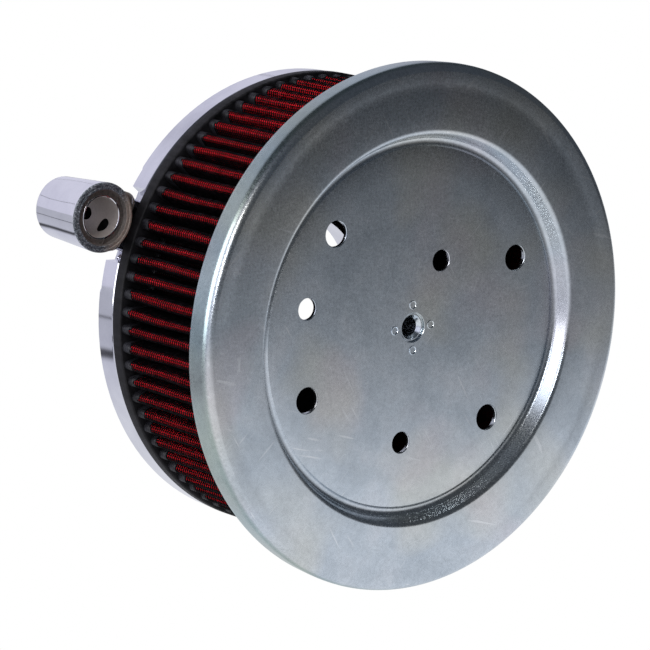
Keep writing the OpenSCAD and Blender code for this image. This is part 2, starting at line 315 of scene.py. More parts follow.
def zinc_material(name, lift=1.0, rough=0.26):
    """Zinc plated sheet: crystal grain, cloudy passivate colours, smudges, short scratches."""
    n = Nodes(name, Metallic=1.0)
    grain = n.noise(0.8, 4.0, 0.7)
    flakes = n.noise(2.6, 2.0, 0.6, distortion=0.6)
    clouds = n.noise(24.0, 3.0, 0.55, distortion=0.4)
    tones = [(0.3, (0.50, 0.56, 0.62)), (0.5, (0.58, 0.64, 0.70)), (0.72, (0.66, 0.70, 0.75))]
    base = n.ramp(clouds, [(at, tuple(c * lift for c in colour)) for at, colour in tones])
    warm = n.mix(n.ramp(n.noise(37.0, 1.0), [(0.48, 0.0), (0.66, 0.45)]), base, (0.72, 0.70, 0.60))
    pink = n.mix(n.ramp(n.noise(31.0, 1.0), [(0.55, 0.0), (0.7, 0.35)]), warm, (0.68, 0.62, 0.66))
    speck = n.ramp(grain, [(0.32, 0.87), (0.5, 1.0), (0.68, 1.10)])
    mottle = n.ramp(flakes, [(0.3, 0.93), (0.7, 1.05)])
    grained = n.mix(1.0, n.mix(1.0, pink, speck, "MULTIPLY"), mottle, "MULTIPLY")
    smudge_mask = n.math(
        "MULTIPLY",
        n.ramp(n.noise(8.0, 5.0, 0.7, distortion=1.5), [(0.60, 0.0), (0.72, 1.0)]),
        n.ramp(n.noise(30.0, 1.0), [(0.45, 0.0), (0.62, 0.55)]),
    )
    hairs = []
    for turn, where in ((0.5, 21.0), (1.25, 17.0), (2.3, 19.0)):
        stretched = n.scaled((0.8, 0.8, 0.05), rotate=(0, turn, 0))
        line = n.ramp(n.noise(1.0, 0.0, 0.5, stretched), [(0.76, 0.0), (0.80, 0.8)])
        patch = n.ramp(n.noise(where, 1.0), [(0.54, 0.0), (0.66, 0.6)])
        hairs.append(n.math("MULTIPLY", line, patch))
    scratch = n.math("MAXIMUM", n.math("MAXIMUM", hairs[0], hairs[1]), hairs[2])
    marked = n.mix(smudge_mask, grained, (0.84, 0.87, 0.90))
    marked = n.mix(scratch, marked, (0.90, 0.92, 0.94))
    # a darker, greener tone towards the skirt, from 94 mm radius out
    skirt_band = n.range(n.from_axis(), (CAP_R - 1.0) * MM, (CAP_R - 0.3) * MM, 0.0, 1.0)
    darker = n.mix(1.0, marked, (0.62, 0.70, 0.66), "MULTIPLY")
    n.put(n.p.inputs["Base Color"], n.mix(skirt_band, marked, darker))
    grit = n.range(grain, 0.3, 0.7, rough - 0.04, rough + 0.06)
    n.put(n.p.inputs["Roughness"], n.math("ADD", grit, n.math("MULTIPLY", smudge_mask, 0.16)))
    fine = n.bump(grain, 0.2, 0.012)
    n.put(n.p.inputs["Normal"], n.bump(scratch, -0.3, 0.015, fine))
    return n.mat


def chrome_material():
    """Polished chrome with faint handling haze and slow waviness in its reflections."""
    n = Nodes("polished_chrome", Metallic=1.0)
    haze = n.noise(14.0, 4.0, 0.6)
    base = n.ramp(haze, [(0.35, (0.72, 0.72, 0.77)), (0.65, (0.82, 0.82, 0.86))])
    n.put(n.p.inputs["Base Color"], base)
    n.put(n.p.inputs["Roughness"], n.range(haze, 0.3, 0.75, 0.04, 0.11))
    wave = n.bump(n.noise(11.0, 1.0), 0.25, 0.12)
    n.put(n.p.inputs["Normal"], n.bump(n.noise(0.7, 2.0), 0.08, 0.01, wave))
    return n.mat


def plate_material():
    """Chrome on the plate's rim, and painted shade inside it, dull and dark, where the element hides
    it.
    """
    n = Nodes("plate_chrome", Metallic=1.0)
    haze = n.noise(14.0, 4.0, 0.6)
    centre = n.from_axis()
    past_hub = n.range(centre, 0.0345, 0.0355, 0.0, 1.0)
    within_seal = n.range(centre, 0.0700, 0.0712, 1.0, 0.0)
    inside = n.math("MULTIPLY", past_hub, within_seal)
    bright = n.ramp(haze, [(0.35, (0.70, 0.70, 0.76)), (0.65, (0.80, 0.80, 0.85))])
    speckle_noise = n.noise(1.1, 3.0, 0.6)
    # painted shade: within the seal ring, where the element hides the plate, the colour is near
    # black
    dull = n.ramp(speckle_noise, [(0.3, (0.030, 0.029, 0.028)), (0.7, (0.065, 0.063, 0.06))])
    n.put(n.p.inputs["Base Color"], n.mix(inside, bright, dull))
    shine = n.range(haze, 0.3, 0.75, 0.04, 0.11)
    n.put(n.p.inputs["Roughness"], n.math("ADD", shine, n.math("MULTIPLY", inside, 0.5)))
    wave = n.bump(n.noise(11.0, 1.0), 0.25, 0.12)
    n.put(n.p.inputs["Normal"], n.bump(n.math("MULTIPLY", speckle_noise, inside), 0.4, 0.08, wave))
    return n.mat


def fitting_material():
    """Chrome outside, a dull front face and seat, a matt bore, a raw brownish arm, and painted shade
    in its hollows.
    """
    n = Nodes("fitting_chrome")
    bore_x = BREATHER_REACH * math.cos(BREATHER_ANGLE)
    bore_z = BREATHER_REACH * math.sin(BREATHER_ANGLE)
    near = n.from_axis(bore_x, bore_z)
    haze = n.noise(14.0, 4.0, 0.6)
    grit = n.noise(0.55, 4.0, 0.7)
    depth = n.split()[1]
    front = n.range(depth, -0.0174, -0.0172, 1.0, 0.0)
    bore = n.range(near, 0.00722, 0.00728, 1.0, 0.0)
    outside_lip = n.range(near, 0.0078, 0.0079, 0.0, 1.0)
    within = n.math("MULTIPLY", outside_lip, n.range(near, 0.0099, 0.0101, 1.0, 0.0))
    seat = n.math("MULTIPLY", within, n.range(depth, -0.0166, -0.0164, 1.0, 0.0))
    past_bore = n.range(near, 0.00728, 0.00735, 0.0, 1.0)
    walls = n.math("MULTIPLY", past_bore, n.range(near, 0.0107, 0.0108, 1.0, 0.0))
    painted_hole_shade = n.math("MULTIPLY", walls, n.range(depth, -0.0164, -0.0162, 0.0, 1.0))
    bright = n.ramp(haze, [(0.35, (0.76, 0.76, 0.81)), (0.65, (0.86, 0.86, 0.90))])
    greys = [(0.3, (0.015, 0.015, 0.02)), (0.5, (0.07, 0.08, 0.095)), (0.72, (0.45, 0.47, 0.52))]
    face = n.ramp(grit, greys)
    worn = n.ramp(grit, [(0.3, (0.34, 0.30, 0.28)), (0.7, (0.48, 0.43, 0.40))])
    brown = n.ramp(grit, [(0.3, (0.035, 0.030, 0.028)), (0.7, (0.13, 0.11, 0.10))])
    arm = n.range(near, 0.01262, 0.0129, 0.0, 1.0)
    raw = n.ramp(grit, [(0.3, (0.20, 0.165, 0.145)), (0.7, (0.36, 0.30, 0.26))])
    toward_plate = n.range(n.from_axis(), 0.0935, 0.0985, 1.0, 0.0)
    outer = n.mix(front, n.mix(arm, bright, raw), n.mix(toward_plate, face, raw))
    colour = n.mix(bore, n.mix(seat, outer, brown), worn)
    # painted shade: the hollows behind the front, the cross holes among them, are made near black
    n.put(n.p.inputs["Base Color"], n.mix(painted_hole_shade, colour, (0.004, 0.003, 0.003)))
    machined = n.math("MAXIMUM", front, seat)
    hollow = n.math("MULTIPLY", n.math("MAXIMUM", bore, painted_hole_shade), 0.55)
    matt = n.math("MAXIMUM", n.math("MULTIPLY", machined, 0.4), n.math("MULTIPLY", arm, 0.3))
    matt = n.math("MAXIMUM", matt, hollow)
    dull = n.math("MAXIMUM", hollow, n.math("MULTIPLY", machined, 0.8))
    dull = n.math("MAXIMUM", dull, n.math("MULTIPLY", arm, 0.5))
    n.put(n.p.inputs["Roughness"], n.math("ADD", n.range(haze, 0.3, 0.75, 0.04, 0.1), matt))
    n.put(n.p.inputs["Metallic"], n.math("SUBTRACT", 1.0, dull))
    wave = n.bump(n.noise(11.0, 1.0), 0.25, 0.12)
    n.put(n.p.inputs["Normal"], n.bump(n.math("MULTIPLY", grit, matt), 0.5, 0.06, wave))
    return n.mat


def rubber_material(name, dark, light, rough, shine=0.2):
    """Moulded rubber or urethane: soft mottling, fine pores and streaks along the moulding."""
    n = Nodes(name, Specular_IOR_Level=shine)
    streak = n.noise(3.0, 3.0, 0.6, n.scaled((1.0, 0.25, 1.0)))
    n.put(n.p.inputs["Base Color"], n.ramp(streak, [(0.35, dark), (0.7, light)]))
    pores = n.noise(0.5, 2.0, 0.6)
    n.put(n.p.inputs["Roughness"], n.range(pores, 0.3, 0.7, rough - 0.08, rough + 0.1))
    n.put(n.p.inputs["Normal"], n.bump(pores, 0.25, 0.05))
    return n.mat


def cotton_material():
    """Oiled cotton gauze: a fine open weave with uneven dye, and painted shade black in the pleats.
    """
    n = Nodes("oiled_cotton", Roughness=0.85, Specular_IOR_Level=0.04)
    fibre = n.noise(0.4, 3.0, 0.7)
    dye = n.ramp(n.noise(7.0, 2.0, 0.5), [(0.3, 0.7), (0.7, 1.1)])
    # painted shade: the red darkens to near black towards the valleys of the pleats
    depth = n.range(n.from_axis(), (PLEAT_IN + 0.8) * MM, (PLEAT_OUT - 3.6) * MM, 0.0, 1.0)
    painted_pleat_shade = n.ramp(depth, [(0.0, 0.03), (0.5, 0.35), (1.0, 1.0)])
    reds = [(0.3, (0.22, 0.002, 0.005)), (0.5, (0.62, 0.006, 0.013)), (0.72, (1.0, 0.03, 0.045))]
    base = n.ramp(fibre, reds)
    n.put(n.p.inputs["Base Color"], n.mix(1.0, n.mix(1.0, base, dye, "MULTIPLY"), painted_pleat_shade, "MULTIPLY"))
    n.put(n.p.inputs["Normal"], n.bump(fibre, 0.6, 0.12))
    return n.mat


def wire_material():
    """Black coated wire, worn a little brighter in places."""
    n = Nodes("coated_wire", Specular_IOR_Level=0.06)
    wear = n.noise(1.6, 2.0, 0.6)
    blacks = [(0.45, (0.0015, 0.0015, 0.002)), (0.75, (0.012, 0.010, 0.012))]
    n.put(n.p.inputs["Base Color"], n.ramp(wear, blacks))
    n.put(n.p.inputs["Roughness"], n.range(wear, 0.3, 0.7, 0.5, 0.35))
    return n.mat


zinc = zinc_material("zinc_plate")
bright_zinc = zinc_material("zinc_turning", 1.3, 0.16)
chrome = chrome_material()
plate_chrome = plate_material()
fitting_chrome = fitting_material()
urethane = rubber_material(
    "moulded_urethane", (0.003, 0.003, 0.0035), (0.012, 0.0115, 0.0135), 0.55
)
glue_black = rubber_material("glue_black", (0.003, 0.003, 0.004), (0.02, 0.02, 0.025), 0.45, 0.3)
nitrile = rubber_material("nitrile", (0.006, 0.006, 0.006), (0.02, 0.02, 0.02), 0.42)
cotton = cotton_material()
wire = wire_material()


# ================= end cap =================


NUT_HOLE_R = 5.4
CORNER_R = 3.6  # outside of the cap's rounded corner
STEP_LOW = (DISC_R, 77.45)  # centre of the bend at the foot of the step
STEP_HIGH = (71.7, 78.8)  # centre of the bend at its top
BEND_R = 2.2


def cap_front():
    """Front of the cap: a faintly dished disc, a groove, the step up and a crowned rim."""
    dish, crown = 0.45, 0.7
    line = [(NUT_HOLE_R + 0.12, DISC_FACE)]
    line += [(r, DISC_FACE + dish * (r / 65.0) ** 2) for r in (15, 25, 35, 45, 55)]
    line += [(62.0, DISC_FACE + 0.38), (65.0, DISC_FACE + 0.16)]
    line += [(65.35, DISC_FACE - 0.08), (65.7, DISC_FACE - 0.3), (66.1, DISC_FACE - 0.38)]
    line += arc(*STEP_LOW, BEND_R, 272, 330, 8)
    line += arc(*STEP_HIGH, BEND_R, 150, 90, 8)
    line += [(r, CAP_FACE - crown * ((r - 73.0) / 17.0) ** 2) for r in (76, 79, 82, 85, 88)]
    line += arc(CAP_R - CORNER_R, CAP_FACE - CORNER_R, CORNER_R, 82, 4, 12)
    line += [(CAP_R, 76.5), (94.6, SKIRT_END + 0.25)]
    return line


def cap_back():
    """Back of the cap, from the skirt's end to the centre hole."""
    line = [(94.35, SKIRT_END), (93.75, SKIRT_END), (93.5, SKIRT_END + 0.25)]
    line += arc(CAP_R - CORNER_R, CAP_FACE - CORNER_R, 2.4, 0, 90, 8)
    line += arc(*STEP_HIGH, 1.0, 90, 150, 5)
    line += arc(*STEP_LOW, 3.4, 330, 270, 8)
    line += [(30.0, DISC_FACE - SHEET), (NUT_HOLE_R, DISC_FACE - SHEET)]
    line += [(NUT_HOLE_R, DISC_FACE - 0.12)]
    return line


def on_circle(r, degrees, x=0.0, z=0.0):
    """A point on a circle of radius r about (x, z)."""
    a = math.radians(degrees)
    return x + r * math.cos(a), z + r * math.sin(a)


HOLE_TILT = -12.8
HOLE_SPREAD = 34.8
LARGE_HOLE_R, SMALL_HOLE_R = 4.65, 3.85
LARGE_HOLES = [
    on_circle(51.7, HOLE_TILT + half + spread)
    for half in (0, 180)
    for spread in (-HOLE_SPREAD, HOLE_SPREAD)
]
SMALL_HOLES = [on_circle(38, degrees, -13.9, -4.2) for degrees in (45, 152.8, 282.8)]
WELD_CIRCLE_R = 8.25


def hole_cutter(x, z, r):
    """A bar that cuts a hole with slightly broken front edges."""
    edge = 0.2
    profile = [(r, DISC_FACE - 3), (r, DISC_FACE - 0.22)]
    profile += [(r + edge, DISC_FACE + 0.02), (r + edge, DISC_FACE + 2)]
    verts, faces = solid_revolve(profile, 72)
    return move_points(verts, x, z), faces


def weld_ring(x, z):
    """The raised ring of one projection weld."""
    ring = [(1.12, -0.15), (1.15, 0.12), (1.3, 0.28), (1.45, 0.3), (1.58, 0.2), (1.66, -0.15)]
    verts, faces = revolve([(r, DISC_FACE + h) for r, h in ring], 40)
    return move_points(verts, x, z), faces


verts, faces = revolve(cap_front() + cap_back(), 360)
end_cap = new_object("end_cap_pressing", verts, faces, "filter", zinc, sharp=28)
recalc(end_cap)
holes = [hole_cutter(x, z, LARGE_HOLE_R) for x, z in LARGE_HOLES]
holes += [hole_cutter(x, z, SMALL_HOLE_R) for x, z in SMALL_HOLES]
boolean(end_cap, cutter(*join_meshes(holes)), "DIFFERENCE", sharp=28)
welds = [weld_ring(*on_circle(WELD_CIRCLE_R, 90 * i)) for i in range(4)]
verts, faces = join_meshes(welds)
weld_marks = new_object("weld_marks", verts, faces, "filter", bright_zinc)
recalc(weld_marks)
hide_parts("end_cap")


# ================= weld nut =================

NUT_BACK = DISC_FACE - SHEET
nut_profile = [
    (3.4, 63.6), (3.8, 63.2), (6.1, 63.2), (6.5, 63.6), (6.5, 72.2), (11.1, 72.2), (11.5, 72.6),
    (11.5, NUT_BACK - 0.02), (4.95, NUT_BACK - 0.02), (4.95, 74.65), (4.8, 74.8), (4.5, 74.8),
    (3.4, 73.3),
]
verts, faces = revolve(nut_profile, 96)
nut = new_object("weld_nut_turning", verts, faces, "filter", bright_zinc, sharp=25)
recalc(nut)
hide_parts("weld_nut")


# ================= pleats =================


def pleat_geometry():
    """Centres of one ridge arc and the next valley arc, and the angle of the leg's normal."""
    c1 = np.array([PLEAT_OUT - RIDGE_R, 0.0])
    c2 = (PLEAT_IN + VALLEY_R) * np.array([math.cos(PITCH / 2), math.sin(PITCH / 2)])
    d = c2 - c1
    theta = math.atan2(d[1], d[0]) - math.acos((RIDGE_R + VALLEY_R) / np.hypot(*d))
    return c1, c2, theta


def pleat_path(offset, ridge_steps, leg_steps, valley_steps):
    """Points and outward normals of one pleat, offset inwards from the outermost surface."""
    c1, c2, theta = pleat_geometry()
    r1, r2 = RIDGE_R - offset, VALLEY_R + offset
    pts, nrm = [], []
    for i in range(ridge_steps + 1):
        a = -theta + 2 * theta * i / ridge_steps
        d = np.array([math.cos(a), math.sin(a)])
        pts.append(c1 + r1 * d)
        nrm.append(d)
    start, end = pts[-1], c2 - r2 * np.array([math.cos(theta), math.sin(theta)])
    for i in range(1, leg_steps):
        pts.append(start + (end - start) * i / leg_steps)
        nrm.append(nrm[ridge_steps])
    low = theta + math.pi
    high = 2 * (PITCH / 2 + math.pi) - low
    for i in range(valley_steps + 1):
        a = low + (high - low) * i / valley_steps
        d = np.array([math.cos(a), math.sin(a)])
        pts.append(c2 + r2 * d)
        nrm.append(-d)
    turn = np.array([[math.cos(PITCH), -math.sin(PITCH)], [math.sin(PITCH), math.cos(PITCH)]])
    start, end = pts[-1], turn @ pts[0]
    for i in range(1, leg_steps):
        pts.append(start + (end - start) * i / leg_steps)
        nrm.append(turn @ nrm[0])
    return np.array(pts), np.array(nrm)


def around(pts, nrm, count=PLEATS):
    """One pleat's points repeated round the axis."""
    a = np.arange(count) * PITCH
    c, s = np.cos(a)[:, None], np.sin(a)[:, None]

    def turn(p):
        return np.stack([c * p[:, 0] - s * p[:, 1], s * p[:, 0] + c * p[:, 1]], -1).reshape(-1, 2)

    return turn(pts), turn(nrm)


def warp(x, z, h):
    """Small unevenness of hand-set pleats: ridges lean and breathe along their length."""
    ang = np.arctan2(z, x)
    r = np.hypot(x, z)
    lift = np.clip((r - PLEAT_IN) / (PLEAT_OUT - PLEAT_IN), 0, 1)
    mid = np.sin(np.clip((h - SEAL_FRONT) / (POTTING_BACK - SEAL_FRONT), 0, 1) * math.pi)
    lean = 0.30 * np.sin(23 * ang + 1.3) + 0.22 * np.sin(37 * ang + 0.4 + 0.05 * h)
    lean = lean * (0.35 + 0.65 * mid) + 0.12 * np.sin(0.16 * h + 11 * ang)
    swell = 0.14 * np.sin(31 * ang + 0.7) + 0.10 * np.sin(0.11 * h + 17 * ang + 2.0)
    r2 = r + lift * (swell - 0.26) * (0.4 + 0.6 * mid)
    a2 = ang + lift * lean / r
    return r2 * np.cos(a2), r2 * np.sin(a2)


def sheet_points(path, heights):
    """Warped 3-D points of a path at each height, as an array (heights, points, 3)."""
    rows = []
    for h in heights:
        x, z = warp(path[:, 0], path[:, 1], h)
        rows.append(np.stack([x, np.full_like(x, -h), z], -1))
    return np.array(rows)


def loop_quads(rows, cols, base=0, flip=False):
    """Quads between consecutive rows of a ring of points."""
    i = np.arange(rows - 1)[:, None] * cols
    k = np.arange(cols)[None, :]
    m = (k + 1) % cols
    q = np.stack([i + k, i + m, i + cols + m, i + cols + k], -1).reshape(-1, 4) + base
    return q[:, ::-1] if flip else q


def band_mesh(outer, inner, heights, steps):
    """A closed zigzag band between two offsets."""
    po, _ = around(*pleat_path(outer, *steps))
    pi, _ = around(*pleat_path(inner, *steps))
    a, b = sheet_points(po, heights), sheet_points(pi, heights)
    rows, cols = a.shape[:2]
    verts = np.concatenate([a.reshape(-1, 3), b.reshape(-1, 3)])
    half = rows * cols
    k = np.arange(cols)
    m = (k + 1) % cols
    low = np.stack([k, k + half, m + half, m], -1)
    top = (rows - 1) * cols
    high = np.stack([top + k, top + m, top + m + half, top + k + half], -1)
    quads = np.concatenate([loop_quads(rows, cols), loop_quads(rows, cols, half, True), low, high])
    return verts, quads


PLEAT_HEIGHTS = np.linspace(SEAL_FRONT - 1.5, POTTING_BACK + 1.5, 14)
verts, quads = band_mesh(0.36, 1.24, PLEAT_HEIGHTS, (8, 2, 6))
media = quads_object("pleated_cotton", verts, quads, "filter", cotton)
recalc(media)
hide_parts("pleat_media")


def along_path(offset, spacing):
    """Evenly spaced points and normals along one pleat."""
    pts, nrm = pleat_path(offset, 16, 4, 12)
    turn = np.array([[math.cos(PITCH), -math.sin(PITCH)], [math.sin(PITCH), math.cos(PITCH)]])
    pts, nrm = np.vstack([pts, turn @ pts[0]]), np.vstack([nrm, turn @ nrm[0]])
    s = np.concatenate([[0], np.cumsum(np.hypot(*np.diff(pts, axis=0).T))])
    count = round(s[-1] / spacing)
    at = (np.arange(count) + 0.5) * s[-1] / count
    return (
        np.stack([np.interp(at, s, pts[:, i]) for i in (0, 1)], -1),
        np.stack([np.interp(at, s, nrm[:, i]) for i in (0, 1)], -1),
    )


def wire_tubes(centre, side_a, side_b, radius):
    """Three-sided tubes along many paths: centre, side_a and side_b are (paths, points, 3)."""
    sides = 3
    paths, points = centre.shape[:2]
    ring = []
    for k in range(sides):
        a = TAU * k / sides
        ring.append(centre + radius * (math.cos(a) * side_a + math.sin(a) * side_b))
    verts = np.stack(ring, 2).reshape(-1, 3)
    p = np.arange(paths)[:, None, None] * points * sides
    i = np.arange(points - 1)[None, :, None]
    k = np.arange(sides)[None, None, :]
    j = i + 1
    m = (k + 1) % sides
    quads = np.stack(
        [p + i * sides + k, p + j * sides + k, p + j * sides + m, p + i * sides + m], -1
    ).reshape(-1, 4)
    return verts, quads


def axial_wires(offset, spacing, radius, heights):
    """Wires that run along the filter's axis, evenly spaced over the pleats."""
    pts, nrm = around(*along_path(offset, spacing))
    centre = sheet_points(pts, heights).transpose(1, 0, 2)
    rows = len(heights)
    out = np.repeat(np.stack([nrm[:, 0], np.zeros(len(nrm)), nrm[:, 1]], -1)[:, None], rows, 1)
    side = np.repeat(np.stack([-nrm[:, 1], np.zeros(len(nrm)), nrm[:, 0]], -1)[:, None], rows, 1)
    return wire_tubes(centre, out, side, radius)


def cross_wires(offset, spacing, radius, steps, start, count):
    """Wires that follow the pleats round, for some of the pleats."""
    pts, nrm = around(*pleat_path(offset, *steps), count=count + 1)
    per = len(pts) // (count + 1)
    pts, nrm = pts[: count * per + 1], nrm[: count * per + 1]
    a = start * PITCH
    turn = np.array([[math.cos(a), -math.sin(a)], [math.sin(a), math.cos(a)]])
    pts, nrm = pts @ turn.T, nrm @ turn.T
    rows = int((POTTING_BACK - SEAL_FRONT) / spacing)
    heights = SEAL_FRONT + (np.arange(rows) + 0.5) * (POTTING_BACK - SEAL_FRONT) / rows
    centre = sheet_points(pts, heights)
    out = np.repeat(np.stack([nrm[:, 0], np.zeros(len(nrm)), nrm[:, 1]], -1)[None], rows, 0)
    axis = np.zeros_like(out)
    axis[..., 1] = 1.0
    return wire_tubes(centre, out, axis, radius)


WIRE_HEIGHTS = np.linspace(SEAL_FRONT - 1, POTTING_BACK + 1, 8)
SECTORS = 4
verts, quads = axial_wires(0.24, 1.12, 0.18, WIRE_HEIGHTS)
outer_axial = quads_object("outer_wires_along", verts, quads, "filter", wire)
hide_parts("outer_mesh")
verts, quads = axial_wires(1.36, 2.3, 0.12, WIRE_HEIGHTS)
inner_axial = quads_object("inner_wires_along", verts, quads, "filter", wire)
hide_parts("inner_mesh")
for sector in range(SECTORS):
    share = PLEATS // SECTORS
    verts, quads = cross_wires(0.05, 1.15, 0.25, (6, 2, 3), sector * share, share)
    quads_object(f"outer_wires_across_{sector + 1}", verts, quads, "filter", wire)
for sector in range(2):
    share = PLEATS // 2
    verts, quads = cross_wires(1.48, 2.3, 0.12, (4, 1, 4), sector * share, share)
    quads_object(f"inner_wires_across_{sector + 1}", verts, quads, "filter", wire)


# ================= seal ring and potting =================

ring_profile = (
    [(SEAL_IN, SEAL_BACK)]
    + arc(SEAL_R - 0.45, SEAL_BACK + 0.45, 0.45, 270, 360, 4)
    + arc(SEAL_R - 0.7, SEAL_FRONT - 0.7, 0.7, 0, 90, 5)
    + arc(SEAL_IN + 1.2, SEAL_FRONT - 1.2, 1.2, 90, 180, 5)
)
verts, faces = revolve(ring_profile, 320)
seal_ring = new_object(
    "seal_ring_moulding", verts, faces, "filter", urethane, sharp=50
)
recalc(seal_ring)
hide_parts("rear_seal_ring")


def glue_band():
    """Urethane that has crept up the foot of each pleat, with an uneven top edge."""
    po, _ = around(*pleat_path(-0.12, 8, 3, 5))
    pi, _ = around(*pleat_path(0.5, 8, 3, 5))
    ang = np.arctan2(po[:, 1], po[:, 0])
    ridge = np.clip((np.hypot(*po.T) - 80.5) / 3, 0, 1)
    creep = 3.3 + 0.45 * np.sin(61 * ang) + 0.35 * np.sin(143 * ang + 1)
    creep = creep + 0.3 * np.sin(217 * ang + 2) + 0.5 * ridge
    middle = (po + pi) / 2
    rows = []
    for share, path in ((0.0, po), (0.5, po), (0.9, po), (1.0, middle), (0.95, pi), (0.0, pi)):
        h = SEAL_FRONT - 0.6 + (creep + 0.6) * share
        x, z = warp(path[:, 0], path[:, 1], h)
        rows.append(np.stack([x, -h, z], -1))
    grid = np.array(rows)
    return grid.reshape(-1, 3), loop_quads(*grid.shape[:2])


verts, quads = glue_band()
quads_object("glue_line", verts, quads, "filter", glue_black)

potting_profile = [
    (71.9, POTTING_BACK + 0.2), (72.1, POTTING_BACK), (93.3, POTTING_BACK),
    (93.6, POTTING_BACK + 0.4), (93.7, 77.2), (93.0, 78.9), (91.2, 79.7), (72.6, 79.7), (71.9, 79.2),
]
verts, faces = revolve(potting_profile, 256)
potting = new_object("cap_potting", verts, faces, "filter", urethane)
recalc(potting)
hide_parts("front_potting")


# ================= breather fittings =================


def to_fitting(points, side):
    """Points given as (along the arm, across it, h) in the row frame of one fitting."""
    u, v, h = np.asarray(points, float).T
    c, s = math.cos(BREATHER_ANGLE), math.sin(BREATHER_ANGLE)
    return np.stack([side * (c * u - s * v), -h, s * u + c * v], -1)


def turned(profile, segments):
    """A closed (r, h) profile turned round the fitting's bore, as fitting points."""
    verts, faces = revolve(profile, segments)
    return np.stack([BREATHER_REACH + verts[:, 0], verts[:, 2], -verts[:, 1]], -1), faces


def arm_section(half_w, half_t, corner):
    """A rounded rectangle across the arm, as (v, h) points."""
    pts = []
    for sx, sy, a0 in ((1, 1, 0), (-1, 1, 90), (-1, -1, 180), (1, -1, 270)):
        pts += arc(sx * (half_w - corner), sy * (half_t - corner), corner, a0, a0 + 90, 12)
    return pts


def arm_loft():
    """The arm, from inside the round body to its slot-shaped end with a small chamfer."""
    # place along the arm, centre across it, half width, centre's height, half thickness, corner
    stations = [
        (98.0, 0.25, 11.35, 6.75, 10.45, 1.6), (94.0, 0.7, 11.1, 6.6, 9.8, 2.2),
        (90.0, 1.2, 10.95, 6.15, 8.05, 3.2), (87.0, 1.6, 10.85, 5.4, 5.8, 4.2),
        (85.7, 1.7, 10.8, 5.0, 4.8, 4.6), (85.2, 1.7, 10.8, 5.0, 4.7, 4.65),
        (84.95, 1.7, 10.72, 5.0, 4.62, 4.6), (84.8, 1.7, 10.55, 5.0, 4.4, 4.38),
    ]
    rows = [
        [(u, across + v, height + h) for v, h in arm_section(half_w, half_t, corner)]
        for u, across, half_w, height, half_t, corner in stations
    ]
    cols = len(rows[0])
    verts = np.array(rows).reshape(-1, 3)
    faces = [tuple(q) for q in loop_quads(len(rows), cols)]
    faces += [tuple(range(cols))[::-1], tuple((len(rows) - 1) * cols + k for k in range(cols))]
    return verts, faces


# radius and height round the fitting's bore: foot, tapered side, front ring, washer seat, bore
BODY_PROFILE = (
    [(BREATHER_BORE, -8.2), (BREATHER_BORE + 0.3, -8.5), (9.7, -8.5)]
    + arc(9.7, -7.1, 1.4, 280, 360, 5)
    + [(11.5, 0.0), (11.96, 8.0), (12.44, 16.6), (12.5, 17.2), (12.46, 17.6), (12.3, 17.88)]
    + [(12.0, 18.0), (11.5, 18.0), (11.38, 17.8), (10.75, 17.8), (10.62, 18.0), (10.1, 18.0)]
    + [(9.94, 17.9), (9.8, 17.5)]
    + [(9.5, 16.9), (9.3, 16.8), (7.9, 16.8), (7.75, 16.95), (7.45, 16.95), (BREATHER_BORE, 16.7)]
)


def fitting_cutter(points, faces, side):
    """A boolean's operand from points in the fitting's row frame."""
    return cutter(to_fitting(points, side), faces)


def bar_along(r, u0, u1, across, h):
    """A round bar along the arm."""
    segments = 40
    angles = [TAU * k / segments for k in range(segments)]
    pts = [(u, across + r * math.cos(a), h + r * math.sin(a)) for u in (u0, u1) for a in angles]
    faces = []
    for k in range(segments):
        m = (k + 1) % segments
        faces.append((k, m, segments + m, segments + k))
    faces += [tuple(range(segments))[::-1], tuple(range(segments, 2 * segments))]
    return np.array(pts), faces


def build_fitting(side, name):
    """The turned body with its arm, bore and two cross holes; side is -1 or 1."""
    body = f"breather_{name}"
    sharp = 24
    verts, faces = turned(BODY_PROFILE, 128)
    points = to_fitting(verts, side)
    barrel = new_object(f"{body}_casting", points, faces, body, fitting_chrome, sharp)
    recalc(barrel)
    arm = fitting_cutter(*arm_loft(), side)
    bar_pts, bar_faces = solid_revolve([(BREATHER_BORE, -12.0), (BREATHER_BORE, 22.0)], 128)
    bar_pts = np.stack([BREATHER_REACH + bar_pts[:, 0], bar_pts[:, 2], -bar_pts[:, 1]], -1)
    boolean(arm, fitting_cutter(bar_pts, bar_faces, side), "DIFFERENCE")
    boolean(barrel, arm, "UNION", sharp)
    # radius, place across the arm and height of each cross hole
    cross_holes = [(2.6, -1.9, 9.8), (2.3, 0.8, -1.7)]
    cross = join_meshes([bar_along(r, 90.8, 99.0, across, h) for r, across, h in cross_holes])
    boolean(barrel, fitting_cutter(*cross, side), "DIFFERENCE", sharp)
    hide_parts(f"breather_{name}_body")


for side, name in ((-1, "left"), (1, "right")):
    build_fitting(side, name)


# ================= carried-over CAD nodes =================


def dress(node, mat):
    """Gives a CAD node a material and leaves its shape alone."""
    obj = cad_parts[node]
    if not obj.data.materials:
        obj.data.materials.append(mat)
    for s in obj.material_slots:
        s.link = "OBJECT"
        s.material = mat


dress("backing_plate", plate_chrome)
dress("intake_o_ring", nitrile)
for name in ("left", "right"):
    dress(f"breather_{name}_spigot", chrome)
    dress(f"breather_{name}_spigot_seal", nitrile)
    dress(f"breather_{name}_head_seal", nitrile)


# ================= studio =================


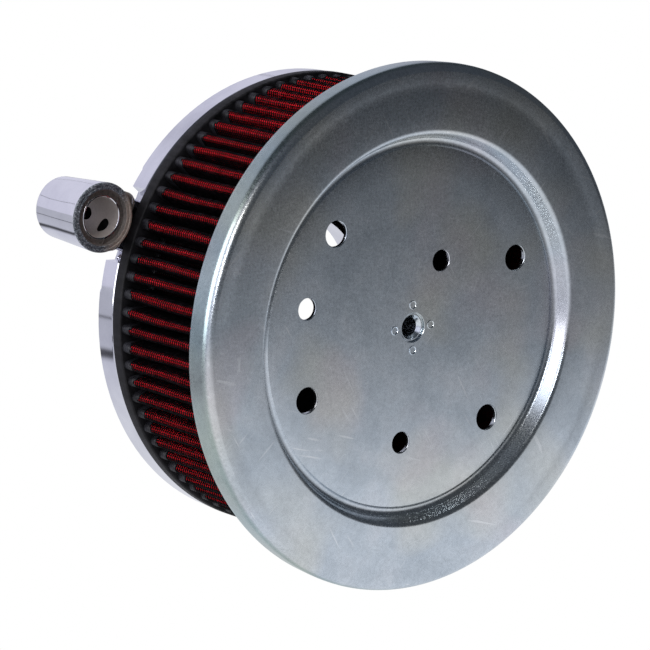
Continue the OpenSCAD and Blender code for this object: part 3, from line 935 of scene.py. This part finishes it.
def stage_material(name, camera_colour, build):
    """Shows one plain colour to the camera, and what build makes to everything else."""
    mat = bpy.data.materials.new(name)
    mat.use_nodes = True
    tree = mat.node_tree
    tree.nodes.clear()
    out = tree.nodes.new("ShaderNodeOutputMaterial")
    mix = tree.nodes.new("ShaderNodeMixShader")
    path = tree.nodes.new("ShaderNodeLightPath")
    seen = tree.nodes.new("ShaderNodeEmission")
    seen.inputs[0].default_value = (*camera_colour, 1)
    tree.links.new(path.outputs["Is Camera Ray"], mix.inputs[0])
    tree.links.new(build(tree), mix.inputs[1])
    tree.links.new(seen.outputs[0], mix.inputs[2])
    tree.links.new(mix.outputs[0], out.inputs[0])
    return mat


def plane(name, centre, axis_a, axis_b, mat):
    """A flat card from its centre and two half-side vectors."""
    c, a, b = Vector(centre), Vector(axis_a), Vector(axis_b)
    mesh = bpy.data.meshes.new(name)
    mesh.from_pydata([c - a - b, c + a - b, c + a + b, c - a + b], [], [(0, 1, 2, 3)])
    mesh.materials.append(mat)
    obj = bpy.data.objects.new(name, mesh)
    bpy.context.scene.collection.objects.link(obj)
    return obj


FALL_SPAN = 3.0  # metres of floor that the ramp covers


def floor_light(tree):
    """A lit sweep: brightest near the object, dark far in front of it, dimmer behind it.

    Two thin dark lines behind the object show as lines on the chrome.
    """
    coord = tree.nodes.new("ShaderNodeTexCoord")
    along = tree.nodes.new("ShaderNodeVectorMath")
    along.operation = "DOT_PRODUCT"
    tree.links.new(coord.outputs["Object"], along.inputs[0])
    along.inputs[1].default_value = (0.62 / FALL_SPAN, -0.78 / FALL_SPAN, 0.0)
    shift = tree.nodes.new("ShaderNodeMath")
    shift.operation = "ADD"
    tree.links.new(along.outputs["Value"], shift.inputs[0])
    shift.inputs[1].default_value = 0.5
    ramp = tree.nodes.new("ShaderNodeValToRGB")
    # metres toward the front right, and the grey there
    fall = [
        (-1.2, 0.50), (-0.64, 0.50), (-0.60, 0.10), (-0.56, 0.50), (-0.30, 0.55), (-0.28, 0.07),
        (-0.26, 0.07), (-0.24, 0.62), (-0.05, 0.80), (0.2, 0.82), (0.32, 0.58), (0.45, 0.27),
        (0.6, 0.22), (0.8, 0.14), (1.3, 0.05),
    ]
    while len(ramp.color_ramp.elements) < len(fall):
        ramp.color_ramp.elements.new(0.5)
    for element, (at, grey) in zip(ramp.color_ramp.elements, fall):
        element.position = at / FALL_SPAN + 0.5
        element.color = (grey * 0.98, grey, grey * (1.14 if at < -0.2 else 1.05), 1)
    tree.links.new(shift.outputs[0], ramp.inputs[0])
    glow = tree.nodes.new("ShaderNodeEmission")
    tree.links.new(ramp.outputs[0], glow.inputs[0])
    return glow.outputs[0]


FLOOR_Z = -0.0956
sweep = stage_material("sweep", (1, 1, 1), floor_light)
plane("floor", (0, 0, FLOOR_Z), (6, 0, 0), (0, 6, 0), sweep)

world = bpy.data.worlds.new("studio")
bpy.context.scene.world = world
world.use_nodes = True
tree = world.node_tree
tree.nodes.clear()
coord = tree.nodes.new("ShaderNodeTexCoord")
toward = tree.nodes.new("ShaderNodeVectorMath")
toward.operation = "DOT_PRODUCT"
tree.links.new(coord.outputs["Generated"], toward.inputs[0])
toward.inputs[1].default_value = (-0.7, 0.7, 0.0)
side = tree.nodes.new("ShaderNodeMapRange")
side.interpolation_type = "SMOOTHSTEP"
tree.links.new(toward.outputs["Value"], side.inputs[0])
for socket, value in zip(list(side.inputs)[1:5], (-0.15, 0.2, 0.0, 1.0)):
    socket.default_value = value
height = tree.nodes.new("ShaderNodeSeparateXYZ")
tree.links.new(coord.outputs["Generated"], height.inputs[0])
walls = tree.nodes.new("ShaderNodeValToRGB")
bands = [(0.0, 1.0), (0.29, 1.0), (0.30, 0.15), (0.31, 1.0), (0.58, 1.0), (0.74, 0.0)]
while len(walls.color_ramp.elements) < len(bands):
    walls.color_ramp.elements.new(0.5)
for element, (at, grey) in zip(walls.color_ramp.elements, bands):
    element.position = at
    element.color = (grey, grey, grey, 1)
tree.links.new(height.outputs["Z"], walls.inputs[0])
lit = tree.nodes.new("ShaderNodeMath")
lit.operation = "MULTIPLY"
tree.links.new(side.outputs[0], lit.inputs[0])
tree.links.new(walls.outputs[0], lit.inputs[1])
room = tree.nodes.new("ShaderNodeMix")
room.data_type = "RGBA"
tree.links.new(lit.outputs[0], room.inputs[0])
room.inputs[6].default_value = (0.055, 0.062, 0.072, 1)
room.inputs[7].default_value = (0.68, 0.68, 0.80, 1)
dark = tree.nodes.new("ShaderNodeBackground")
tree.links.new(room.outputs[2], dark.inputs[0])
white = tree.nodes.new("ShaderNodeBackground")
white.inputs[0].default_value = (1, 1, 1, 1)
path = tree.nodes.new("ShaderNodeLightPath")
mix = tree.nodes.new("ShaderNodeMixShader")
tree.links.new(path.outputs["Is Camera Ray"], mix.inputs[0])
tree.links.new(dark.outputs[0], mix.inputs[1])
tree.links.new(white.outputs[0], mix.inputs[2])
out = tree.nodes.new("ShaderNodeOutputWorld")
tree.links.new(mix.outputs[0], out.inputs[0])


def area_light(name, place, size, power):
    """A rectangular softbox aimed at the origin."""
    lamp = bpy.data.lights.new(name, "AREA")
    lamp.shape = "RECTANGLE"
    lamp.size, lamp.size_y = size
    lamp.energy = power
    obj = bpy.data.objects.new(name, lamp)
    bpy.context.scene.collection.objects.link(obj)
    obj.location = place
    obj.rotation_euler = (-Vector(place)).to_track_quat("-Z", "Y").to_euler()
    return obj


overhead = area_light("top_softbox", (-0.3, -0.1, 1.3), (1.4, 1.4), 24)
overhead.visible_glossy = False
area_light("left_softbox", (-1.5, 0.1, 0.5), (1.0, 1.2), 12)
area_light("strip", (-1.15, -1.2, 0.62), (0.14, 0.7), 5)

scene = bpy.context.scene
scene.view_settings.view_transform = "Standard"
scene.view_settings.look = "None"

# ---- camera: in front and to the left, a little above, as a long lens sees it
AZIMUTH, ELEVATION = math.radians(-38.379), math.radians(12.632)
level = math.cos(ELEVATION)
away = Vector((math.sin(AZIMUTH) * level, -math.cos(AZIMUTH) * level, math.sin(ELEVATION)))
right = Vector((math.cos(AZIMUTH), math.sin(AZIMUTH), 0.0))
up = away.cross(right)
camera_data = bpy.data.cameras.new("camera")
camera_data.sensor_width = 36.0
camera_data.lens = 194.66
camera_data.clip_start = 0.05
camera_data.clip_end = 20.0
camera = bpy.data.objects.new("camera", camera_data)
scene.collection.objects.link(camera)
pose = Matrix((right, up, away)).transposed().to_4x4()
pose.translation = Vector((-0.7806, -1.0110, 0.2739))
camera.matrix_world = pose
scene.camera = camera
